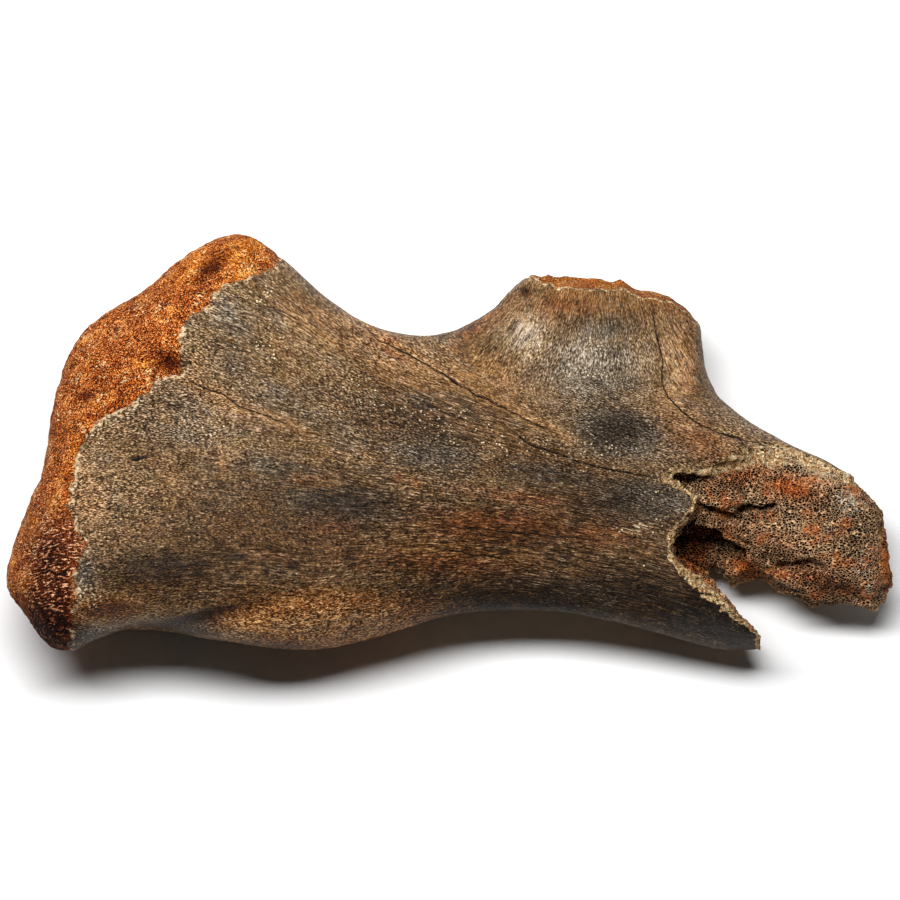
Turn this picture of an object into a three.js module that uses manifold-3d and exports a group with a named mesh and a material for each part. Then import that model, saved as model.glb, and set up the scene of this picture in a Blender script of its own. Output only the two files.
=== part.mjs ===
// A fossil woolly rhinoceros bone: the upper part of a left thigh bone, broken off below
// the third trochanter, lying on its rear face. One solid, in millimetres, +Z up.
import * as THREE from "three";
import { mergeVertices } from "three/addons/utils/BufferGeometryUtils.js";
import Module from "manifold-3d";

const wasm = await Module();
wasm.setup();

// ---- Driving dimensions ----

// The outlines below are drawn in a plane that rises by this angle from the ground towards
// the bone's outer edge. u runs along the bone from the worn upper end, v across it.
const LEAN = THREE.MathUtils.degToRad(25);

const STATIONS = 62; // sections along the bone
const AROUND = 56; // points round a section
const ABOVE_ALL = 95; // a height clear of the bone, and one below it
const BELOW_ALL = -15;
const UPPER_END_ROUNDING = 38; // how far the worn upper end takes to reach full thickness
const LOWER_END_ROUNDING = 16;
const WORN_FLAT = 0.9; // how much the three places that it rests on are worn away

// Each pair is one section: a point on the inner edge and the point across from it on the
// outer edge. The third trochanter is drawn longer than it is, and broken off further down.
const SECTIONS = [
  [[0.5, 31], [22, 114]],
  [[1, 26], [29, 128]],
  [[3, 20], [41, 138]],
  [[7, 14], [56, 147]],
  [[13, 7], [70, 159]],
  [[20, 1.5], [83, 167]],
  [[27.5, 0], [93, 170.5]],
  [[37, 4], [103, 168.5]],
  [[48, 7], [115, 159]],
  [[63, 7], [129, 147]],
  [[84, 4.5], [143, 137]],
  [[105, 1.5], [157, 131]],
  [[125, 0.4], [172, 129]],
  [[146, 4], [184, 131]],
  [[165, 9.5], [195, 137]],
  [[181, 14], [204, 146]],
  [[197, 16.5], [214, 160]],
  [[212, 17], [228, 173]],
  [[227, 16], [244, 178]],
  [[243, 13], [259, 177]],
  [[258, 9.5], [273, 168]],
  [[270, 6], [283, 146]],
  [[282, 3], [286.5, 118]],
  [[293, 0.6], [294, 102.5]],
  [[305, 0], [308, 92]],
  [[322, 0], [324, 83]],
  [[342, 1], [344, 74]],
  [[362, 4], [362, 64]],
  [[376, 12], [376, 54]],
];

// The break in the front wall of the shaft, from the outer edge round to the tip of the
// splinter. Each pair is a point on the bone's surface, and one where the break's steep
// face meets the spongy inside; FRONT_BREAK_HEIGHTS is how high these two outlines are.
const FRONT_BREAK = [
  [[324, 92], [324, 92]],
  [[318, 85.5], [317, 83]],
  [[307, 84], [306, 82]],
  [[297.5, 78], [297, 77]],
  [[286.5, 73.5], [287, 72]],
  [[275, 72.5], [277, 70.5]],
  [[268, 71.5], [274, 68]],
  [[280, 64.5], [283, 63]],
  [[281, 61], [284, 60]],
  [[276, 53], [279, 53]],
  [[270, 45.5], [274, 45]],
  [[270.5, 40], [275, 39]],
  [[278.5, 28], [285, 31]],
  [[283.5, 23], [291, 25]],
  [[293.5, 15.5], [299, 15.5]],
  [[304, 6.5], [308, 6.5]],
  [[310, -14], [312, -14]],
  [[400, -14], [400, -14]],
  [[400, 92], [400, 92]],
];
const FRONT_BREAK_HEIGHTS = [72, 41];
const FRONT_BREAK_DEPTH = 8; // the break goes no lower than this

// The spongy face that this break lays bare, on the tongue of the far wall: its height
// above the ground, and the swellings and hollows of it.
const TONGUE_HEIGHT = 42;
const TONGUE_HILLS = [
  [322, 60, 34, 17, 4],
  [286, 75, 21, 17, 15], // it rises to the front wall, which broke off it
  [312, 27, 14, 9, -11], // it falls away to its inner edge
  [333, 19, 15, 9, -12],
  [352, 15, 15, 10, -14],
  [368, 34, 10, 20, -13], // and to its tip
  [298, 55, 11, 3.2, -5], // grooves
  [312, 57, 9, 3, -4],
  [303, 42, 12, 3, -4],
  [329, 35, 5, 4, -4],
  [282, 68, 9, 5, -4],
];
const TONGUE_GRID = { from: [262, 8], to: [384, 100], cells: [38, 28] };

// What is missing right through: the gap between the splinter and the spongy tongue, and
// all beyond the tongue. Each pair is a point at the rear face and one at the spongy face.
const THROUGH_BREAK = [
  [[290, 36], [294, 39]],
  [[286.5, 34], [289, 35.5]],
  [[286, 29], [288, 30]],
  [[290.5, 24], [291, 25]],
  [[298, 15.5], [299, 15.5]],
  [[307.5, 6], [308, 6.5]],
  [[308.5, 0], [308.5, 0]],
  [[309, -16], [309, -16]],
  [[400, -16], [400, -16]],
  [[400, 90], [400, 90]],
  [[352, 90], [347, 90]],
  [[349, 75], [345, 73]],
  [[356, 61.5], [350, 61]],
  [[361, 48], [354.5, 50]],
  [[364, 34], [357.5, 38]],
  [[363.5, 26], [357, 32]],
  [[357.5, 17], [351, 25.5]],
  [[348.5, 17], [345, 23.5]],
  [[328, 18.5], [327, 25.5]],
  [[320, 22.5], [320, 29.5]],
  [[312, 27.5], [313, 34]],
  [[301, 29.5], [304, 37]],
];
const THROUGH_BREAK_HEIGHTS = [17, 44];

// The marrow hollow inside: an oval, its middle and half its size each way.
const HOLLOW = {
  centre: [270, 41, 34],
  size: [36, 14, 14.5],
  turn: THREE.MathUtils.degToRad(-8),
};

// The broken tip of the third trochanter. Each pair is a point at its front face and one at
// its rear face, which reaches further, so that the broken face shows from the front.
const TROCHANTER_BREAK = [
  [[188, 192], [188, 192]],
  [[203, 144], [203, 146]],
  [[208, 147], [208, 149.5]],
  [[213, 150.5], [213, 152.5]],
  [[217.5, 152.5], [217.5, 153.8]],
  [[223, 150.8], [223, 154.3]],
  [[229, 148.4], [229, 154]],
  [[239, 147.2], [240, 153]],
  [[248, 146.4], [249, 151.5]],
  [[256, 146], [257, 149]],
  [[263, 143.6], [263.5, 147.6]],
  [[269, 142], [269, 145.8]],
  [[276, 139.4], [276, 141.8]],
  [[283.5, 133], [283.5, 133.5]],
  [[300, 130], [300, 130]],
  [[300, 192], [300, 192]],
];
const TROCHANTER_BREAK_HEIGHTS = [56, 30];

// ---- The form of the two broad faces, as heights above the ground ----

const { lerp, smoothstep, clamp } = THREE.MathUtils;

// A soft swelling or hollow of the surface round one place.
const hill = (u, v, [cu, cv, ru, rv, height]) =>
  height * Math.exp(-(((u - cu) / ru) ** 2) - ((v - cv) / rv) ** 2);
const hills = (u, v, list) =>
  list.reduce((sum, one) => sum + hill(u, v, one), 0);

// How high the two faces of the shaft are, by the upper end and further down, and how much
// the third trochanter's thin plate is sunk from each.
const FRONT_FACE = [76, 62];
const REAR_FACE = [8, 6];
const PLATE_SUNK = { front: 14, rear: 10 };

const FRONT_HILLS = [
  [38, 30, 38, 34, 7], // base of the head
  [88, 140, 30, 26, 3], // greater trochanter
  [66, 84, 34, 26, -4], // shallow saddle between them
  [150, 62, 70, 30, 4], // long swelling of the shaft
  [172, 110, 26, 22, -4],
  [132, 0, 42, 14, -6], // lesser trochanter, a long rough lump on the inner edge
];
const REAR_HILLS = [
  [40, 34, 32, 30, -10.8], // base of the head, which it rests on
  [88, 128, 30, 26, -10.4], // greater trochanter, which it rests on
  [92, 84, 34, 24, 15], // hollow behind the greater trochanter
  [170, 96, 40, 24, 7],
  [262, 50, 52, 18, -7], // rough line down the shaft, which it rests on
  [150, 40, 36, 20, 3],
  [355, 45, 36, 60, 14], // the tongue rises clear of the ground,
  [318, 20, 26, 20, 8], // and so does its inner edge
];
// Places where both faces rise or sink together.
const SHARED_HILLS = [
  [66, 8, 26, 16, -5], // hollow between the head's base and the lesser trochanter
  [246, 160, 46, 26, 12], // the third trochanter bends forward to its tip
];

// The bone is widest half-way between its two faces, and lower than that here.
const RIM_HILLS = [
  [46, 2, 30, 18, -9], // base of the head
  [132, 0, 44, 16, -16], // lesser trochanter
  [300, 0, 40, 20, -20], // splinter at the lower end
];

// 1 on the thin plate of the third trochanter, 0 on the shaft.
const plate = (u, v) =>
  smoothstep(v, 84, 118) * smoothstep(u, 176, 214) * (1 - smoothstep(u, 284, 304));

function frontHeight(u, v) {
  const face = lerp(...FRONT_FACE, smoothstep(u, 50, 215)) - PLATE_SUNK.front * plate(u, v);
  return face + hills(u, v, FRONT_HILLS) + hills(u, v, SHARED_HILLS);
}

function rearHeight(u, v) {
  const face = lerp(...REAR_FACE, smoothstep(u, 50, 215)) + PLATE_SUNK.rear * plate(u, v);
  return face + hills(u, v, REAR_HILLS) + hills(u, v, SHARED_HILLS);
}

// How square a section's edges are: 2 is an ellipse. By the upper end, further down, and
// how much squarer the inner edge is at the lesser trochanter.
const SQUARENESS = [2.5, 2.05];
const LESSER_TROCHANTER = { u: 130, reach: 42, squarer: 1.3 };

function squareness(u, inner) {
  const { u: middle, reach, squarer } = LESSER_TROCHANTER;
  const lump = inner ? squarer * Math.exp(-(((u - middle) / reach) ** 2)) : 0;
  return lerp(...SQUARENESS, smoothstep(u, 40, 200)) + lump;
}

// ---- Building ----

// The point of the outline's plane at (u, v), slid square to that plane to this height.
const at = (u, v, height) =>
  new THREE.Vector3(u, v / Math.cos(LEAN) - height * Math.tan(LEAN), height);

function solidOf(geometry) {
  const bare = geometry.index ? geometry.toNonIndexed() : geometry.clone();
  bare.deleteAttribute("normal");
  bare.deleteAttribute("uv");
  const merged = mergeVertices(bare, 1e-3);
  return new wasm.Manifold(
    new wasm.Mesh({
      numProp: 3,
      vertProperties: new Float32Array(merged.attributes.position.array),
      triVerts: new Uint32Array(merged.index.array),
    }),
  );
}

function geometryOf(solid) {
  const { vertProperties, triVerts } = solid.getMesh();
  const geometry = new THREE.BufferGeometry();
  geometry.setAttribute("position", new THREE.BufferAttribute(vertProperties, 3));
  geometry.setIndex(new THREE.BufferAttribute(triVerts, 1));
  geometry.computeVertexNormals();
  return geometry;
}

// 0 at an end of the bone, rising along a quarter of an oval to 1 at `length` from it.
const rounding = (distance, length) =>
  Math.sqrt(1 - (1 - clamp(distance / length, 0, 1)) ** 2);

// The whole bone before it broke, lofted through the sections.
function wholeBone() {
  const inner = new THREE.SplineCurve(SECTIONS.map(([p]) => new THREE.Vector2(...p)));
  const outer = new THREE.SplineCurve(SECTIONS.map(([, p]) => new THREE.Vector2(...p)));
  const middle = (t) => inner.getPoint(t).lerp(outer.getPoint(t), 0.5).x;
  const geometry = new THREE.CylinderGeometry(1, 1, 1, AROUND, STATIONS, true);
  const position = geometry.attributes.position;
  for (let i = 0; i < position.count; i += 1) {
    const t = clamp(0.5 - position.getY(i), 0, 1);
    const across = position.getZ(i);
    const up = -position.getX(i);
    const a = inner.getPoint(t);
    const b = outer.getPoint(t);
    const power = 2 / squareness(middle(t), across < 0);
    const share = (1 + Math.sign(across) * Math.abs(across) ** power) / 2;
    const { x: u, y: v } = a.clone().lerp(b, share);
    const ends =
      rounding(middle(t) - middle(0), UPPER_END_ROUNDING) *
      rounding(middle(1) - middle(t), LOWER_END_ROUNDING);
    const front = frontHeight(u, v);
    const rear = rearHeight(u, v);
    const swing = Math.abs(up) < 1e-9 ? 0 : Math.sign(up) * Math.abs(up) ** power * ends;
    const rim = hills(u, v, RIM_HILLS) * (1 - Math.abs(swing));
    const point = at(u, v, (front + rear) / 2 + rim + ((front - rear) / 2) * swing);
    position.setXYZ(i, point.x, point.y, point.z);
  }
  geometry.setIndex(shorterDiagonals(position));
  return solidOf(geometry);
}

// The loft's four-sided faces, each split along its shorter diagonal.
function shorterDiagonals(position) {
  const corner = (i) => new THREE.Vector3().fromBufferAttribute(position, i);
  const index = [];
  for (let row = 0; row < STATIONS; row += 1) {
    for (let column = 0; column < AROUND; column += 1) {
      const a = row * (AROUND + 1) + column;
      const b = a + AROUND + 1;
      const c = b + 1;
      const d = a + 1;
      if (corner(a).distanceTo(corner(c)) < corner(b).distanceTo(corner(d))) {
        index.push(a, b, c, a, c, d);
      } else {
        index.push(a, b, d, b, c, d);
      }
    }
  }
  return index;
}

// A solid whose outline passes through the first points at the first height and through the
// second points at the second, and runs on as straight from `low` to `high`.
function prism(pairs, heights, low, high) {
  const outlineAt = (height) =>
    pairs.map(([first, second]) => {
      const share = (height - heights[0]) / (heights[1] - heights[0]);
      return new THREE.Vector2(...first).lerp(new THREE.Vector2(...second), share);
    });
  const bottom = outlineAt(low);
  const top = outlineAt(high);
  if (THREE.ShapeUtils.isClockWise(bottom)) {
    bottom.reverse();
    top.reverse();
  }
  const count = bottom.length;
  const index = [];
  THREE.ShapeUtils.triangulateShape(bottom, []).forEach(([a, b, c]) => {
    index.push(c, b, a);
    index.push(a + count, b + count, c + count);
  });
  for (let i = 0; i < count; i += 1) {
    const next = (i + 1) % count;
    index.push(i, next, next + count);
    index.push(i, next + count, i + count);
  }
  const geometry = new THREE.BufferGeometry().setFromPoints([
    ...bottom.map(({ x, y }) => at(x, y, low)),
    ...top.map(({ x, y }) => at(x, y, high)),
  ]);
  geometry.setIndex(index);
  return solidOf(geometry);
}

// All that is above the spongy face of the tongue.
function aboveTongue() {
  const { from, to, cells } = TONGUE_GRID;
  const geometry = new THREE.BoxGeometry(1, 1, 1, ...cells, 1);
  const position = geometry.attributes.position;
  for (let i = 0; i < position.count; i += 1) {
    const u = lerp(from[0], to[0], position.getX(i) + 0.5);
    const v = lerp(from[1], to[1], position.getY(i) + 0.5);
    const face = TONGUE_HEIGHT + hills(u, v, TONGUE_HILLS);
    const point = at(u, v, position.getZ(i) < 0 ? face : ABOVE_ALL);
    position.setXYZ(i, point.x, point.y, point.z);
  }
  return solidOf(geometry);
}

// What the break took off the front wall: steep at its edge, down to the spongy face.
function frontBreak() {
  const inside = FRONT_BREAK.map(([, p]) => [p, p]);
  const [, insideHeight] = FRONT_BREAK_HEIGHTS;
  return prism(FRONT_BREAK, FRONT_BREAK_HEIGHTS, insideHeight, ABOVE_ALL)
    .add(prism(inside, FRONT_BREAK_HEIGHTS, FRONT_BREAK_DEPTH, insideHeight))
    .intersect(aboveTongue());
}

// The marrow hollow that the break lays open.
function marrowHollow() {
  const geometry = new THREE.SphereGeometry(1, 24, 16);
  geometry.scale(...HOLLOW.size);
  geometry.rotateZ(HOLLOW.turn);
  const centre = at(...HOLLOW.centre);
  geometry.translate(centre.x, centre.y, centre.z);
  return solidOf(geometry);
}

// All that is below this height.
function groundUpTo(height) {
  const size = 1000;
  const geometry = new THREE.BoxGeometry(size, size, size);
  geometry.translate(0, 0, height - size / 2);
  return solidOf(geometry);
}

function boxOf(geometry) {
  geometry.computeBoundingBox();
  return geometry.boundingBox;
}

const broken = wholeBone()
  .subtract(prism(TROCHANTER_BREAK, TROCHANTER_BREAK_HEIGHTS, BELOW_ALL, ABOVE_ALL))
  .subtract(frontBreak())
  .subtract(prism(THROUGH_BREAK, THROUGH_BREAK_HEIGHTS, BELOW_ALL, ABOVE_ALL))
  .subtract(marrowHollow());

// It rests on its lowest places, worn flat, with the origin under the middle of its box.
const restHeight = boxOf(geometryOf(broken)).min.z + WORN_FLAT;
const geometry = geometryOf(broken.subtract(groundUpTo(restHeight)));
const { min, max } = boxOf(geometry);
geometry.translate(-(min.x + max.x) / 2, -(min.y + max.y) / 2, -min.z);

const mesh = new THREE.Mesh(
  geometry,
  new THREE.MeshStandardMaterial({ color: 0x5b4a3a, roughness: 0.6, metalness: 0 }),
);
mesh.name = "bone";

const group = new THREE.Group();
group.add(mesh);
export default group;
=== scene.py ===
"""A fossil rhinoceros thigh bone, dressed for close view. Lengths in the notes are millimetres."""
import math

import bmesh
import bpy
import numpy as np
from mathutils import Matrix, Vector
from mathutils.bvhtree import BVHTree
from mathutils.kdtree import KDTree


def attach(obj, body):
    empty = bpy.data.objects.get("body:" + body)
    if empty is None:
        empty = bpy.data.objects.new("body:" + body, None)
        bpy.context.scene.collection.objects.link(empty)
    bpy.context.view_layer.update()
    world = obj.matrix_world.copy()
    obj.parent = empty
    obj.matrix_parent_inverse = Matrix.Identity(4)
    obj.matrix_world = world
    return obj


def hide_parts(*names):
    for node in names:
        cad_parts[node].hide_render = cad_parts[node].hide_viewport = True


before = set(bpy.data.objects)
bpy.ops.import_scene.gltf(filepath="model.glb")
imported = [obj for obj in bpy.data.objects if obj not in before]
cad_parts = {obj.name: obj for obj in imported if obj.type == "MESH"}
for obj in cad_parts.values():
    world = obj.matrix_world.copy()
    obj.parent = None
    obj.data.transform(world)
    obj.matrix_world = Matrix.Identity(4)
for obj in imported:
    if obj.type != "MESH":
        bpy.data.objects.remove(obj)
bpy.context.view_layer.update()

NODE = "bone"
MM = 0.001

# ---- Notes on the bone, drawn on the plane that its broad front face is seen square to ----
# u runs along the bone from its worn upper end, v across it from its inner edge, and h is
# the height above the ground.

ELEVATION = math.radians(65)  # of the direction that the front face is seen from
FRONT_FROM = (-0.25, 0.1)  # how far a surface faces that way where the front notes begin
MID_HEIGHT = 36  # the middle of the bone's height

# Where the cortex ends and the worn spongy bone of the upper end begins, outer edge first.
WORN_BORDER = [
    (116, 172), (112.3, 160.7), (109.5, 157.4), (101.3, 153.8), (91.4, 150.5),
    (84, 146.4), (83.2, 141), (75.4, 137), (71.8, 132.4), (71, 121.4), (72.6, 113.6),
    (61.5, 111.1), (58.2, 105.8), (51.3, 100), (41, 96.4), (31.6, 86.1), (29.1, 79.1),
    (27.1, 66.4), (24.6, 59.5), (28.3, 53.7), (33.2, 44.3), (30.8, 35.7), (28.3, 29.5),
    (29.9, 24.2), (27.9, 16.4), (27.1, 0.4), (26, -20),
]

# Cracks in the cortex: points, half width, depth, and how rusty they are. Their line fades
# out over the first distance from the middle, and their slopes and rust reach the others.
CRACK_FADE = (2.5, 4)
CRACK_REACH = 0.9
CRACK_RUST_REACH = 2.6
CRACKS = [
    ([(62.3, 114.4), (69.3, 113.6), (73.4, 111.9), (78.7, 108.2), (88.2, 105),
      (95.1, 100), (104.6, 96.8), (111.9, 93.9), (123, 88.6)], 0.35, 0.9, 0.8),
    ([(141, 136.5), (146, 133.3), (152.1, 127.5), (161.5, 123), (173.4, 116), (183.7, 110.3),
      (192.7, 105), (202.1, 100.5), (215.3, 93.5), (230.8, 85.7)], 0.4, 0.9, 1.0),
    ([(200.1, 95.1), (208.7, 88.2), (215.3, 84.1), (224.7, 81.2), (231.7, 77.9),
      (236.6, 76.3), (248.1, 73.8), (255.8, 72.6), (266.1, 70.9), (272, 69.5)],
     0.45, 1.0, 0.4),
    ([(266.1, 145.5), (264.9, 136.9), (266.9, 127.1), (269, 119.3), (268.1, 109.9),
      (271, 103.7), (276.3, 98.4), (282.5, 93.5), (289.1, 89.8), (299.3, 86.9),
      (314, 83.5)], 0.35, 0.8, 0.1),
    ([(50.4, 78.3), (54, 78.2), (59, 79.5)], 0.7, 1.2, 0.0),
    ([(118.5, 70.9), (123, 69.3), (134.1, 68.5)], 0.35, 0.7, 0.6),
    ([(172, 51.6), (205, 48.4), (223.9, 46.7), (249.3, 44.3)], 0.3, 0.5, 0.4),
    ([(171.8, 43), (189.8, 39.4), (210.3, 36.9)], 0.3, 0.45, 0.4),
]

# Gouges and hollows: middle, half length, half width, turn in degrees, and depth.
GOUGES = [
    (86, 158, 9, 3, 38, 1.6),
    (67, 118, 8, 4, -10, 2.2),
    (45, 99, 5, 3, 20, 0.8),
    (27, 52, 4, 9, -8, 1.5),
    (34, 15, 14, 3, 4, 0.8),
    (278, 69.5, 8, 2.2, 0, 1.2),
    (212.5, 146.8, 2.2, 1.7, 0, 1.8),
]

# Where the form is a little fuller or leaner: middle, half sizes, turn, and how much.
FULLER = [
    (82, 172, 26, 12, 38, 0.6), (222, 156, 22, 6, 0, 1.0), (283, 136, 6, 10, 0, 0.8),
    (355, 56, 9, 7, -60, 2.6), (361, 22, 8, 9, 0, 2.2),
]
LEANER = [
    (11, 76, 24, 12, 72, 3.4), (6, 13, 12, 8, -50, 2.8), (203, 142, 10, 6, 45, 1.6),
    (344, 78, 11, 6, -35, 2.0),
]

# Grooves, on the broken spongy face of the tongue and above the lesser trochanter: points,
# half width and depth.
GROOVES = [
    ([(48, 5), (72, 9.5), (87, 13.5), (104, 19), (119, 24)], 4.5, 2.6),
    ([(290, 50), (297, 47), (304, 42.5), (313, 37)], 0.8, 2.0),
    ([(284, 58.5), (291, 56), (297.7, 54.1), (303, 57), (314.1, 59)], 1.3, 4.0),
    ([(296, 54.1), (302, 53), (307.1, 53.3)], 1.1, 3.0),
    ([(288, 45.5), (292.3, 43.9), (297.7, 42.6), (303, 39.8), (311, 37)], 1.2, 3.6),
    ([(317, 33.5), (325, 34.5), (333, 33.5)], 2.2, 3.6),
    ([(301, 66), (303, 61), (304, 58)], 0.8, 1.4),
    ([(283, 77), (291, 75), (301, 76)], 1.8, 3.2),
]

# How wide the pale broken edge of the cortex shows: middle, reach, width on the outer
# surface, and width on the broken face.
RIM_BASE = (0.7, 1.6)
RIM_WIDE = [
    (290, 27, 22, 2.0, 2.5), (263, 50, 14, 0.8, 2.5), (268, 76, 9, 1.6, 2.0),
    (287, 84, 12, 1.4, 6.0), (308, 87, 16, 1.0, 9.0), (335, 77, 18, 0.8, 5.0),
    (207.5, 147.5, 8, 2.8, 1.5), (245, 147, 24, -0.25, -1.1), (279, 138, 8, -0.4, -1.3),
]

# The fibres of the third trochanter fan out from a point above its broken top. They begin
# over these stretches of v and u, and the broken top begins over the last stretch of v.
FLARE_CENTRE = (245, 190)
FLARE_SPREAD = 60  # the radius that the fan's breadth is counted at
FLARE_FROM_V = (95, 122)
FLARE_FROM_U = (178, 200)
BROKEN_TOP_FROM_V = (118, 126)

# The lesser trochanter, rough where the muscle held on, and the coarse dark inner end of the
# worn bone: middle, half length, half width.
ROUGH_LUMP = (134, 12, 44, 11)
COARSE_END = (22, 26, 15, 33)

# Stains on the front: middle, half length, half width, turn in degrees, and strength. The
# bone is slate-grey, paler, ochre, rusty or darker there. The paler places are partly a
# painted highlight and the darker ones partly painted shade, as noted at each list. Where
# it is LINED its fibres are long and clear, and CREAM_AND_GLINTS has pale flecks, partly painted
# glints.
# Slate-grey places; the one on the third trochanter's left flank cools the painted highlight
# there.
SLATE = [
    (33, 33, 5, 8, 0, 0.9), (38, 6, 14, 4, 5, 1.0), (60, 34, 24, 6, 6, 0.4),
    (70, 90, 12, 6, -20, 0.6), (78, 8, 24, 5, 8, 0.8), (78, 98, 11, 5, -15, 0.6),
    (92, 118, 10, 8, -30, 0.6), (92, 136, 11, 8, -35, 0.9), (110, 105, 14, 8, -30, 0.6),
    (112, 74, 22, 6, -8, 0.8), (120, 96, 40, 14, -16, 0.5), (136, 61, 32, 8, -5, 0.9),
    (140, 86, 18, 8, -20, 0.6), (150, 76, 16, 5, -10, 0.5), (169, 102, 10, 5, -20, 0.7),
    (173, 80, 24, 9, -8, 0.9), (213, 129, 10, 9, 0, 0.6), (222, 72, 26, 6, -12, 0.8),
    (239, 22, 46, 9, -3, 0.8), (240, 114, 26, 16, 0, 1.1), (245, 131, 12, 6, 0, 1.0),
    (249, 89, 16, 9, -10, 2.0), (262, 62, 24, 9, -5, 1.3), (284, 13, 26, 8, -18, 1.0),
    (320, 68, 6, 5, 0, 0.8),
]
# Paler places. On the flanks and middle of the third trochanter and along the greater trochanter's
# ridge they are partly a painted highlight.
PALE_AND_SHEEN = [
    (46, 60, 16, 14, 0, 0.6), (58, 74, 24, 16, 0, 0.5), (83, 88, 16, 9, -8, 0.8),
    (88, 60, 26, 8, 0, 0.2), (92, 136, 16, 10, -35, 0.9), (120, 130, 20, 7, -40, 1.1),
    (168, 114, 18, 7, -30, 0.6), (190, 116, 20, 8, -25, 0.4), (213, 129, 9, 9, 0, 3.0),
    (222, 64, 20, 6, 0, 0.4), (236, 120, 10, 12, 0, 1.3), (259, 119, 15, 13, 0, 0.8),
    (276, 118, 7, 22, 6, 1.6), (285, 96, 9, 6, -30, 0.5),
]
OCHRE = [
    (36, 66, 8, 18, 0, 0.8), (41, 17, 15, 5, 5, 2.0), (88, 76, 2.2, 6, 0, 1.2),
    (91, 98, 20, 3.5, -25, 1.0), (112, 40, 30, 8, 4, 0.4), (118, 50, 26, 5, 0, 0.5),
    (130, 86, 10, 2.4, -10, 0.8), (132, 132, 26, 7, -38, 1.0), (136, 22, 30, 3.5, 0, 1.4),
    (137, 23, 28, 3, 0, 1.2), (140, 10, 36, 7, 6, 1.3), (146, 79, 13, 2.6, -15, 1.1),
    (161, 113, 22, 9, -28, 1.1), (165, 42, 36, 9, 0, 0.6), (167.3, 68, 4, 3, 0, 1.4),
    (184, 44, 18, 5, -4, 0.9), (194, 112, 24, 10, -22, 1.0), (205, 84, 24, 6, -22, 0.6),
    (214, 138, 10, 7, 0, 0.6), (228, 108, 18, 10, 0, 0.4), (240, 143, 26, 5, -4, 1.6),
    (272, 102, 14, 10, -30, 0.7), (276, 118, 6, 20, 6, 0.9),
]
RUST = [
    (41, 17, 14, 4, 5, 1.3), (122, 70.5, 9, 2, -5, 1.1), (134, 51, 9, 4, 0, 0.8),
    (156, 125, 11, 3.4, -34, 1.5), (160, 70.5, 3, 2, 0, 1.0), (167.3, 69, 2.6, 2, 0, 0.7),
    (176, 56, 16, 4, -4, 0.7), (185, 36, 36, 6, -3, 0.9), (192, 132, 16, 4, 34, 0.6),
    (202, 51, 34, 7, -3, 1.2), (214, 62, 30, 4, -6, 0.7), (230, 141, 12, 6, 0, 0.8),
    (239, 47, 24, 5, -4, 1.0), (245, 48, 5, 3, 0, 1.0), (268, 142, 10, 3, -25, 0.7),
    (278, 118, 5, 22, 8, 0.5), (283, 86, 18, 7, -20, 0.7),
]
# Darker places. Many are painted shade: darker towards the lower edge, where the surface turns
# from the light, the shadow in the arch before the lesser trochanter, and the shade in gouges and
# in the notch on the third trochanter's top. Others are darker bone.
DARK_AND_SHADE = [
    (18, 8, 16, 12, -40, 2.4), (18, 36, 8, 14, 0, 1.1), (33, 104, 4, 3, 0, 1.2),
    (44, 17, 18, 5, 5, 1.0), (60, 5, 20, 4, 5, 1.4), (60, 80, 34, 26, 0, 0.5),
    (66, 34, 34, 12, 6, 1.4), (67, 118, 7, 4, -10, 1.6), (80, 13, 26, 3.5, 15, 1.8),
    (82, 24, 40, 6, 4, 0.8), (84, 158, 8, 3, 40, 1.6), (104, 21, 24, 3, 10, 0.9),
    (105, 1, 30, 2.5, 0, 1.2), (110, 48, 84, 26, 0, 0.9), (128, 62, 50, 10, -6, 0.8),
    (140, 60, 30, 9, -3, 1.3), (160, 36, 54, 10, 0, 0.8), (168, 6, 16, 3, 12, 1.0),
    (170, 92, 36, 16, -20, 0.9), (176, 84, 34, 14, -10, 0.6), (205, 47, 40, 12, 0, 1.0),
    (211.5, 147.3, 2.4, 1.5, -20, 1.8), (214, 20, 60, 12, -3, 1.7), (225, 74, 34, 10, -10, 0.9),
    (236, 14, 60, 7, -2, 1.2), (250, 60, 34, 16, 0, 1.0), (250, 90, 14, 9, 0, 1.7),
    (266, 18, 46, 16, -20, 1.6), (292, 18, 26, 18, -25, 2.2), (298, 8, 16, 9, -30, 2.5),
]
LINED = [
    (96, 128, 24, 16, -38, 0.9), (110, 34, 60, 18, 4, 1.0), (120, 134, 34, 12, -38, 1.0),
    (128, 88, 44, 16, -14, 0.8), (150, 66, 70, 18, -6, 0.9), (190, 96, 50, 14, -22, 1.2),
    (190, 124, 26, 14, 10, 0.9), (205, 40, 84, 30, -2, 1.4), (206, 134, 14, 14, 30, 0.9),
    (228, 66, 34, 12, -10, 0.9), (240, 140, 34, 12, 0, 1.0), (262, 26, 50, 26, -15, 1.3),
    (278, 120, 14, 30, 10, 1.0),
]
# Places with pale flecks; on the left flank and middle of the third trochanter the flecks are
# painted glints.
CREAM_AND_GLINTS = [
    (34, 84, 6, 10, -40, 0.8), (35, 24, 4, 6, 30, 1.4), (83, 92, 14, 8, 0, 0.7),
    (104, 146, 9, 4, 35, 0.9), (107, 124, 10, 8, 0, 0.8), (140, 96, 30, 12, -20, 0.3),
    (150, 104, 22, 5, -26, 0.9), (184, 92, 24, 7, -15, 1.0), (196, 84, 26, 5, -14, 0.8),
    (208, 86, 26, 7, -20, 0.5), (214, 129, 8, 7, 0, 1.0), (222, 82, 22, 4, -16, 0.9),
    (233, 77.5, 7, 1.2, -16, 2.0), (240, 118, 14, 12, 0, 0.5), (241, 75, 12, 3, -12, 0.9),
    (244, 84, 16, 7, -10, 0.8), (257, 35.5, 5, 0.9, -18, 2.4), (258, 50, 12, 3.0, 8, 1.4),
    (266, 66, 10, 8, -20, 0.6), (300, 12, 14, 8, -30, 0.4),
]

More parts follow.
